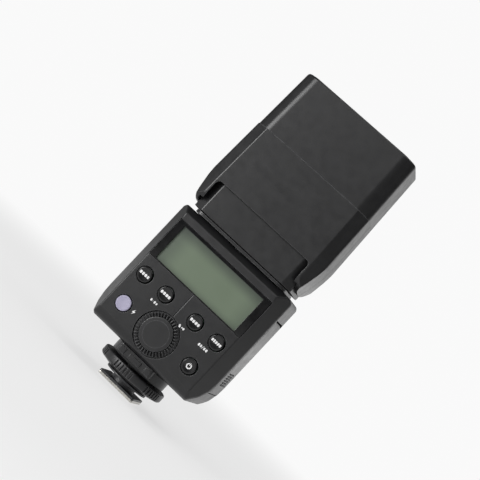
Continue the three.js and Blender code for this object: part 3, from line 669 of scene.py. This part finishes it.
def frontCasing():
    c = casing
    beyond = block(-90, 90, -90, body["seam"] + body["seamGap"], -90, 200)
    shell = combine(bodyForm(), "DIFFERENCE", bodyForm(body["wall"]), beyond)
    posts = [(side * c["screwX"], 0, c["screwZ"]) for side in (-1, 1)]
    for post in posts:
        shell = combine(shell, "UNION", rod("y", 2.6, post, 6, 17.5, 24))
    cuts = [rod("z", c["spigotRadius"], (0, 0, 0), 70, 75, 64)]
    cuts += [block(*c[name]) for name in ("battery", "doorHinge", "coverSeat", "ports")]
    cuts.append(prism("xz", rounded(rectangle(*c["window"]), 1.2, 5), 14, 20))
    for side, post in zip((-1, 1), posts):
        cuts += [rod("y", 1.1, post, 5, 20, 16), rod("y", 2, post, 17, 20, 32)]
        cuts.append(rod("z", 1.2, (side * c["footScrewX"], 0, 0), 15, 19, 16))
    shell = ease(combine(shell, "DIFFERENCE", *cuts), 0.16, 40)
    finishPiece(shell, "frontCasing", mouldedAbs, "front_shell")


batteryDoorGrip = {"columns": 9, "rows": 6, "dot": 0.42, "pitch": 1.15, "lowZ": 29.7, "middleY": 1.6}


def batteryDoor():
    plate = combine(bodyForm(), "DIFFERENCE", bodyForm(body["wall"]))
    plate = combine(plate, "INTERSECT", block(20, 90, -8, 11.2, 24.5, 62.3))
    plate = combine(plate, "UNION", rod("y", 1.4, (28.6, 0, 62.3), -8, 11.2, 32))
    plate = ease(combine(plate, "DIFFERENCE", rod("y", 0.9, (28.6, 0, 62.3), -20, 20, 20)), 0.16, 40)
    g = batteryDoorGrip
    dot = turned("z", [(0, -0.1), (g["dot"], -0.1), (g["dot"], 0.12), (g["dot"] * 0.7, 0.3), (0, 0.36)], sides=10)
    centre = g["lowZ"] + g["pitch"] * (g["rows"] - 1) / 2
    toSide = Matrix.Rotation(math.pi / 2, 4, "Y") @ Matrix.Rotation(math.pi / 2, 4, "Z")
    turn = Matrix.Translation((30, g["middleY"], centre)) @ toSide
    dots = repeat(dot, fieldTree, mouldedAbs, turn, Length=g["pitch"] * (g["columns"] - 1),
                  Width=g["pitch"] * (g["rows"] - 1), Columns=g["columns"], Rows=g["rows"])
    finishPiece(merge(plate, dots), "batteryDoor", mouldedAbs, "battery_door")


rearPanel()
frontCasing()
batteryDoor()
print("casing made")

display = {
    "frame": (-25, 25, 49.05, 67.55), "opening": (-21.7, 21.7, 49.4, 66.3),
    "glass": (-21.95, 21.95, 49.15, 66.55),
}


def displayPieces():
    opening = prism("xz", rounded(rectangle(*display["opening"]), 0.3, 3), -20, -17)
    bezel = prism("xz", rounded(rectangle(*display["frame"]), 0.5, 3), -19.12, -18.1, 0.12)
    bezel = combine(bezel, "DIFFERENCE", opening)
    finishPiece(ease(bezel, 0.08, 40), "displayFrame", printedAcrylic, "display_window")
    glass = prism("xz", rounded(rectangle(*display["glass"]), 0.3, 3), -18.35, -14.4, 0.05)
    finishPiece(glass, "lcdPanel", lcdGlass, "lcd_module")


displayPieces()

portSize = {"lowZ": 62, "highZ": 70, "nearY": -1.6, "farY": 11.3, "hinge": (-29.6, 11.0, 0)}
windowSize = {"face": (-14.7, 14.7, 34.3, 57.7), "back": 15.6, "front": 18.6, "ribs": 32, "ribSpan": 26.6}


def portAndWindow():
    p, w = portSize, windowSize
    cover = rounded(rectangle(p["nearY"], p["farY"], p["lowZ"], p["highZ"]), 0.9, 4)
    cover = prism("yz", cover, -30, -29.25, 0.25, 0)
    hinge = rod("z", 0.4, p["hinge"], p["lowZ"], p["highZ"], 16)
    finishPiece(merge(cover, hinge), "portCover", softRubber, "port_cover")
    window = prism("xz", rounded(rectangle(*w["face"]), 1.1, 5), w["back"], w["front"], 0, 0.3)
    rib = prism("xy", [(-0.35, 0), (0.35, 0), (0, 0.22)], -11, 11)
    turn = Matrix.Translation((0, w["front"] - 0.02, 46))
    ribs = repeat(rib, fieldTree, redAcrylic, turn, Length=w["ribSpan"], Width=0.01, Columns=w["ribs"], Rows=1)
    finishPiece(merge(window, ribs), "focusWindow", redAcrylic, "red_window")


portAndWindow()


# ---- keys, dial and their marks

keySize = {"radius": 3.2, "proud": 0.7, "dish": 0.14, "edge": 0.35}


def keyShape(radius, proud, dish, edge, below=1.9):
    profile = [(0, dish - proud)]
    for k in range(1, 7):
        r = (radius - edge) * k / 6
        profile.append((r, dish * (1 - (k / 6) ** 2) - proud))
    for k in range(1, 5):
        t = k / 4 * math.pi / 2
        profile.append((radius - edge + edge * math.sin(t), edge * (1 - math.cos(t)) - proud))
    return profile + [(radius, below * 0.6), (radius - 0.5, below), (0, below)]


def keyMarks(name, x, z, y):  # generic white symbols, standing a hair proud
    def bar(u, v, length, width, turn=0):
        pad = smallPad(length, width, 0.09, min(length, width) * 0.3)
        pad.data.transform(Matrix.Translation((u, v, 0)) @ Matrix.Rotation(math.radians(turn), 4, "Z"))
        return pad

    if name == "power":
        ring = turned("z", [(0.72, 0), (1.2, 0), (1.2, 0.09), (0.72, 0.09)], sides=40)
        return [combine(ring, "DIFFERENCE", block(-0.38, 0.38, 0.2, 2, -1, 1)), bar(0, 0.85, 0.3, 1.0)]
    if name == "test":
        return []
    if name == "set":
        return [bar(-0.95, 0, 0.8, 1.15), bar(0, 0, 0.75, 1.15), bar(0.95, 0, 0.8, 1.15)]
    shapes = {
        "mode": [(-1.95, 0, 1.05, 1.2), (-0.65, 0, 1.0, 1.2), (0.62, 0, 1.0, 1.2), (1.85, 0, 0.9, 1.2)],
        "zoom": [(-1.9, 0, 0.95, 1.2), (-0.62, 0, 1.05, 1.2), (0.68, 0, 1.05, 1.2), (1.98, 0, 1.0, 1.2)],
        "sync": [(-1.85, 0, 0.95, 1.2), (-0.62, 0, 0.95, 1.2), (0.62, 0, 1.0, 1.2), (1.85, 0, 0.95, 1.2)],
        "slave": [(-2.0, 0, 0.8, 1.2), (-1.0, 0, 0.75, 1.2), (0, 0, 0.8, 1.2), (1.0, 0, 0.75, 1.2),
                  (2.0, 0, 0.8, 1.2)],
    }
    return [bar(*shape) for shape in shapes[name]]


def keysAndMarks():
    y = body["panelY"]
    size = keySize
    for name, (x, z) in keyAt.items():
        cap = turned("y", keyShape(size["radius"], size["proud"], size["dish"], size["edge"]), (x, y, z), 56)
        node = name + "_button"
        finishPiece(cap, name + "Key", milkyResin if name == "test" else polishedAbs, node, smooth=50)
        marks = keyMarks(name, x, z, y)
        if marks:
            mark = merge(*marks) if len(marks) > 1 else marks[0]
            mark.data.transform(toPanel(x, y - size["proud"] + size["dish"] * 0.75, z))
            finishPiece(mark, name + "Mark", screenInk, body=node, slot="white_card")
    cap = turned("y", keyShape(3.1, 0.9, 0.2, 0.4, 2.4), (0, y, dialAt), 56)
    finishPiece(cap, "setKey", polishedAbs, "set_button", smooth=50)
    mark = merge(*keyMarks("set", 0, dialAt, y))
    mark.data.transform(toPanel(0, y - 0.9 + 0.2 * 0.9, dialAt))
    finishPiece(mark, "setMark", screenInk, body="set_button", slot="white_card")


panelMarks = {  # small generic groups beside the keys: place, and bars as (offset, length, width, turn)
    "zoom": ((-9.6, 36.1), [(-1.5, 0.75, 1.0, 0), (-0.6, 0.2, 0.3, 0), (0.3, 0.8, 1.0, 0), (1.35, 0.65, 0.8, 0)]),
    "sync": ((5.4, 36.3), [(-0.9, 0.75, 1.3, 25), (0.3, 0.5, 0.5, 0), (1.1, 0.8, 0.9, 0)]),
    "slave": ((17.6, 36.3), [(-2.4, 0.8, 1.1, 0), (-1.35, 0.75, 1.1, 0), (-0.5, 0.22, 1.3, -20), (0.4, 0.8, 1.1, 0),
                             (1.5, 0.8, 1.1, 0)]),
}


def printedMarks():
    y = body["panelY"]
    pads = []
    for (x, z), bars in panelMarks.values():
        for offset, length, width, turn in bars:
            pad = smallPad(length, width, 0.06, min(length, width) * 0.3)
            pad.data.transform(toPanel(x + offset, y + 0.02, z) @ Matrix.Rotation(math.radians(turn), 4, "Z"))
            pads.append(pad)
    bolt = [(0.35, 1.3), (-0.75, -0.25), (-0.02, -0.25), (-0.35, -1.3), (0.75, 0.3), (0.05, 0.3)]
    flash = prism("xy", bolt, 0, 0.06)
    flash.data.transform(toPanel(-12.9, y + 0.02, 27.6))
    finishPiece(merge(flash, *pads), "panelMarks", screenInk, body="body", slot="white_card")


dialSize = {
    "teeth": 40, "toothRadius": 8.05, "toothLength": 1.75, "toothWidth": 0.6, "toothHeight": 0.86, "ringDepth": 0.6,
}


def dial():
    d = dialSize
    depth, half, across = d["ringDepth"], d["toothLength"] / 2, d["toothWidth"] / 2
    profile = [(3.4, -0.75), (3.7, -0.98), (6.6, -0.98), (6.9, -0.88), (7.05, -0.6), (7.1, depth), (9.1, depth),
               (9.2, 1.1), (5.2, 1.1), (5.2, 3.6), (3.4, 3.6)]
    hub = turned("y", profile, (0, body["panelY"], dialAt), 96)
    outline = rounded(rectangle(-half, half, -across, across), 0.2, 3)
    tooth = prism("xy", outline, -depth - 0.1, d["toothHeight"], 0, 0.2)
    teeth = repeat(tooth, ringTree, mouldedAbs, toPanel(0, body["panelY"], dialAt), Count=d["teeth"],
                   Radius=d["toothRadius"], Group=1, Filled=1)
    finishPiece(merge(hub, teeth), "selectDial", mouldedAbs, "select_dial")


keysAndMarks()
printedMarks()
dial()
print("controls made")


# ---- hot-shoe foot

wheelSize = {"radius": 15.9, "places": 60, "group": 10, "filled": 6, "slotWidth": 0.75, "slotDepth": 0.75}


def lockWheel():
    w = wheelSize
    profile = [(7.5, 5.2), (10.5, 5.2), (15.2, 6.4), (15.75, 6.9), (w["radius"], 7.3), (w["radius"], 9.6), (15.7, 10.1),
               (15.3, 10.3), (7.5, 10.3)]
    rim = turned("z", profile, sides=120)
    slot = block(-w["slotDepth"], 1.5, -w["slotWidth"] / 2, w["slotWidth"] / 2, 6.2, 9.7)
    start = Matrix.Rotation(math.radians(-108), 4, "Z")
    slots = repeat(slot, ringTree, mouldedAbs, start, Count=w["places"], Radius=w["radius"], Group=w["group"],
                   Filled=w["filled"])
    finishPiece(ease(combine(rim, "DIFFERENCE", slots), 0.1, 40), "lockWheel", mouldedAbs, "lock_wheel")


shoePlate = {"bright": 1.1, "ease": 0.15}  # above this height the foot is painted dark, as shade under the wheel


def footPieces():
    profile = [(6.2, 10.9), (13.1, 10.9), (13.5, 11.1), (13.6, 11.5), (13.6, 15.4), (13.2, 15.8), (6.2, 15.8)]
    base = turned("z", profile, sides=96)
    rear = prism("xy", rounded(rectangle(-9, 9, -14.6, -2), 1.2, 5), 11.9, 15.8, 0.4, 0)
    mark = prism("xy", rounded(rectangle(-3.2, 3.2, -15.2, -10), 0.5, 3), 12.7, 14.8, 0.25, 0.25)
    outlines = [rounded(rectangle(x - 1.6, x + 1.6, -15.0, -9), 0.4, 3) for x in (-6.8, 6.8)]
    lugs = [prism("xy", outline, 12.5, 15.0, 0.2, 0.2) for outline in outlines]
    pedestal = combine(base, "UNION", rear, mark, *lugs)
    holes = [rod("z", 1.2, (side * casing["footScrewX"], 0, 0), 11.7, 17, 16) for side in (-1, 1)]
    pedestal = combine(pedestal, "DIFFERENCE", rod("z", 6.2, (0, 0, 0), 10, 17, 48), *holes)
    sleeve = turned("z", [(6.2, 5.2), (7.2, 5.2), (7.2, 11.6), (6.2, 11.6)], sides=64)
    finishPiece(ease(combine(pedestal, "UNION", sleeve), 0.1, 40), "pedestalBase", mouldedAbs, "pedestal")
    plate = combine(copyOf("shoe_foot"), "INTERSECT", block(-20, 20, -20, 20, -5, shoePlate["bright"]))
    # The stem and the washer get the dark steel: painted shade, where the wheel shadows the foot.
    stem = combine(copyOf("shoe_foot"), "INTERSECT", block(-20, 20, -20, 20, shoePlate["bright"] + 0.02, 30))
    finishPiece(ease(plate, shoePlate["ease"], 50), "shoePlate", nickelPlate, "shoe_foot")
    finishPiece(ease(stem, shoePlate["ease"], 50), "shoeStem", shadedSteel, "shoe_foot")
    finishPiece(ease(copyOf("clamp_washer"), 0.12, 35), "clampWasher", shadedSteel, "clamp_washer")


lockWheel()
footPieces()
print("foot made")


# ---- neck

neck = {
    "plan": mirrored([(22.1, -16.2), (26.4, -13.4), (26.4, 13.4), (22.1, 16.2)]),
    "lowZ": 75.5, "coverTop": 90.5, "coverY": -13.4,
}


def neckPieces():
    outline = rounded(neck["plan"], [1.3, 1.2, 1.6, 1.6, 1.6, 1.6, 1.2, 1.3], 8)
    cover = prism("xy", outline, neck["lowZ"], neck["coverTop"], 0.4, 0.5)
    cover = combine(cover, "INTERSECT", block(-90, 90, -90, neck["coverY"], 0, 200))
    inner = prism("xy", inset(neck["plan"], 1.2), 70, 100)
    finishPiece(ease(combine(cover, "DIFFERENCE", inner), 0.1, 45), "neckCover", mouldedAbs, "neck_cover")
    finishPiece(ease(copyOf("neck_core"), 0.35, 28, 3), "neckCore", mouldedAbs, "neck_core")


neckPieces()
print("neck made")


# ---- head

head = {
    "shell": mirrored([(25.6, -18), (31, -14.6), (31, 9.5), (26, 15.5)]),
    "seam": 117.5, "top": 146.3, "taper": 0.058, "tall": 53,
    "shellRadii": [1.1, 2.6, 2.2, 2.2], "halfGap": 0.04, "seamGap": 0.03,
    "bezelRadii": [5.5, 5.0, 2.6, 2.6], "wall": 1.8,
}


def narrowed(x, y, z):
    return (x * (1 - head["taper"] * (z - tiltAxis) / head["tall"]), y, z)


def headOutline(radii, depth=0):
    outline = rounded(head["shell"], radii + radii[::-1], 8)
    return inset(outline, depth) if depth else outline


def cheekProfile():  # seen from the side: three curves round the cheek's low end
    profile = [(-25, 153), (-25, 83.8), (-18, 83.8)]
    curves = (
        ((-18, 83.8), (-18, 78.3), (-11, 77.5)),
        ((-11, 77.5), (-5, 77), (0, 77)),
        ((0, 77), (15.5, 77), (15.5, 93.3)),
    )
    for start, through, end in curves:
        for k in range(1, 9):
            t = k / 8
            shares = ((1 - t) ** 2, 2 * t * (1 - t), t * t)
            profile.append(tuple(sum(p * share for p, share in zip(points, shares)) for points in zip(start, through, end)))
    return profile + [(25, 93.3), (25, 153)]


def headShells():
    for name, (y0, y1) in {"label": (-90, -head["halfGap"]), "front": (head["halfGap"], 90)}.items():
        outer = prism("xy", headOutline(head["shellRadii"]), 73, head["seam"] - head["seamGap"], 0, 0.06, narrowed)
        cheeks = mirrored([(28, 76.8), (29.4, 82.3), (30.5, 88.3), (31, 93.8), (31, 153)])
        shell = combine(outer, "INTERSECT", prism("xz", cheeks, -40, 40), prism("yz", cheekProfile(), -40, 40),
                        block(-90, 90, y0, y1, 0, 200))
        cuts = [
            prism("xy", inset(head["shell"], head["wall"]), 104.3, 160, 0, 0, narrowed),
            block(-26.75, 26.75, -16.5, 90, 40, tiltAxis + 19),
            prism("xz", rounded(rectangle(-25, 25, 40, tiltAxis - 4), 2.2, 6), -90, 0),
            rod("x", 4.3, (0, 0, tiltAxis), -30, 30),
        ]
        shell = ease(combine(shell, "DIFFERENCE", *cuts), 0.22, 40)
        finishPiece(shell, name + "Shell", mouldedAbs, "head_" + name + "_shell")


def headBezel():
    low = head["seam"] + head["seamGap"]
    outer = prism("xy", headOutline(head["bezelRadii"]), low, head["top"], 0.06, 1.0, narrowed)
    cuts = [
        prism("xy", inset(head["shell"], head["wall"] + 0.6), 110, head["top"] - 1.8, 0, 0, narrowed),
        prism("xy", rounded(rectangle(-25.6, 25.6, -12.6, 12.6), 1.0, 4), 140, 160),
        block(-24.4, 24.4, -16.2, -13.3, 140, 160),
    ]
    finishPiece(ease(combine(outer, "DIFFERENCE", *cuts), 0.18, 40), "headBezel", mouldedAbs, "head_bezel")


lensSize = {"pitch": 0.8, "length": 49.5, "width": 23.6, "height": 0.28}


def lens():
    plate = ease(copyOf("fresnel_lens"), 0.12, 40)
    pitch, half = lensSize["pitch"], lensSize["length"] / 2
    rib = prism("yz", [(-pitch / 2, 0), (pitch / 2, 0), (pitch / 4, lensSize["height"])], -half, half)
    rows = int(lensSize["width"] / pitch) + 1
    ribs = repeat(rib, fieldTree, clearPolycarbonate, Matrix.Translation((0, 0, head["top"] - 0.42)), Length=0.01,
                  Width=pitch * (rows - 1), Columns=1, Rows=rows)
    finishPiece(merge(plate, ribs), "fresnelLens", clearPolycarbonate, "fresnel_lens")


headShells()
headBezel()
lens()
finishPiece(ease(copyOf("bounce_card"), 0.12, 40), "bounceCard", whiteCard, "bounce_card")
finishPiece(ease(copyOf("wide_panel"), 0.2, 40), "widePanel", clearPolycarbonate, "wide_panel")
inside = block(-40, 40, -40, 40, 112.8, 200)  # below this the board would show through the head's opening
board = combine(copyOf("trigger_board"), "INTERSECT", inside)
finishPiece(board, "triggerBoard", solderMask, "trigger_board")
print("head made")


# ---- screws

screwSize = {"radius": 1.7, "slot": 0.42, "slotReach": 1.1, "seatY": 17.3, "slotY": 17.75}


def screws():
    s = screwSize
    z, half, reach = casing["screwZ"], s["slot"] / 2, s["slotReach"]
    r = s["radius"]
    profile = [(0, s["seatY"]), (r, s["seatY"]), (r, 17.85), (r * 0.75, 18.1), (0, 18.18)]
    for k, x in enumerate((-casing["screwX"], casing["screwX"]), 1):
        cross = [block(x - reach, x + reach, s["slotY"], 20, z - half, z + half),
                 block(x - half, x + half, s["slotY"], 20, z - reach, z + reach)]
        top = combine(turned("y", profile, (x, 0, z), 32), "DIFFERENCE", *cross)
        shank = rod("y", 0.8, (x, 0, z), -4.2, 17.5, 16)
        finishPiece(combine(top, "UNION", shank), f"shellScrew{k}", platedSteel, f"shell_screw_{k}")


screws()
print("screws made")


# ---- studio

studio = {"floor": "f0f0f0", "reach": 3.0, "world": 0.12, "fadeFrom": 0.16, "fadeTo": 0.5, "glow": 0.68}


lights = {  # place, size and power
    "leftBox": ((-0.56, -0.58, 0.08), 0.45, 6.5),
    "frontBox": ((-0.25, -0.95, 0.6), 0.6, 1.5),
    "topBox": ((0.1, -0.1, 1.0), 0.8, 4),
    "backStrip": ((0.35, 0.8, 0.2), 0.6, 0.9),
}


def makeStudio():
    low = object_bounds()[0].z
    bm = bmesh.new()
    bmesh.ops.create_circle(bm, cap_ends=True, segments=96, radius=studio["reach"])
    mesh = bpy.data.meshes.new("floor")
    bm.to_mesh(mesh)
    bm.free()
    floor = bpy.data.objects.new("floor", mesh)
    floor.location.z = low - 0.0002
    scene.collection.objects.link(floor)
    pale = surface("palePaper", studio["floor"], "ececec", (0.75, 0.85), cloud=300, grain=3, bump=0)
    tree = pale.node_tree
    distance = addNode(tree, "ShaderNodeVectorMath", links={0: placeOf(pale)}, operation="LENGTH").outputs["Value"]
    span = {"From Min": studio["fadeFrom"], "From Max": studio["fadeTo"], "To Min": studio["glow"], "To Max": 1.0}
    run = addNode(tree, "ShaderNodeMapRange", span, {"Value": distance}, interpolation_type="SMOOTHSTEP")
    far = run.outputs["Result"]  # the paper runs out into the white behind
    glow = addNode(tree, "ShaderNodeEmission", {"Color": (1, 1, 1, 1), "Strength": 0.95})
    paper = tree.nodes["Principled BSDF"].outputs[0]
    blend = addNode(tree, "ShaderNodeMixShader", links={0: far, 1: paper, 2: glow.outputs[0]})
    tree.links.new(blend.outputs[0], tree.nodes["Material Output"].inputs["Surface"])
    mesh.materials.append(pale)
    world = bpy.data.worlds.new("studio")
    scene.world = world
    world.use_nodes = True
    tree = world.node_tree
    back = tree.nodes["Background"]
    seen = addNode(tree, "ShaderNodeBackground", {"Color": (1, 1, 1, 1), "Strength": 0.95})
    back.inputs["Color"].default_value = (1, 1, 1, 1)
    back.inputs["Strength"].default_value = studio["world"]
    ray = addNode(tree, "ShaderNodeLightPath")
    mix = addNode(tree, "ShaderNodeMixShader", links={
        0: ray.outputs["Is Camera Ray"], 1: back.outputs[0], 2: seen.outputs[0]})
    tree.links.new(mix.outputs[0], tree.nodes["World Output"].inputs["Surface"])
    for name, (place, size, power) in lights.items():
        data = bpy.data.lights.new(name, "AREA")
        data.size, data.energy = size, power
        light = bpy.data.objects.new(name, data)
        light.location, light.visible_camera = place, False
        light.rotation_mode = "QUATERNION"
        light.rotation_quaternion = (Vector((0, 0, 0.07)) - Vector(place)).to_track_quat("-Z", "Y")
        scene.collection.objects.link(light)
    scene.view_settings.view_transform = "Standard"


makeStudio()
print("studio made")
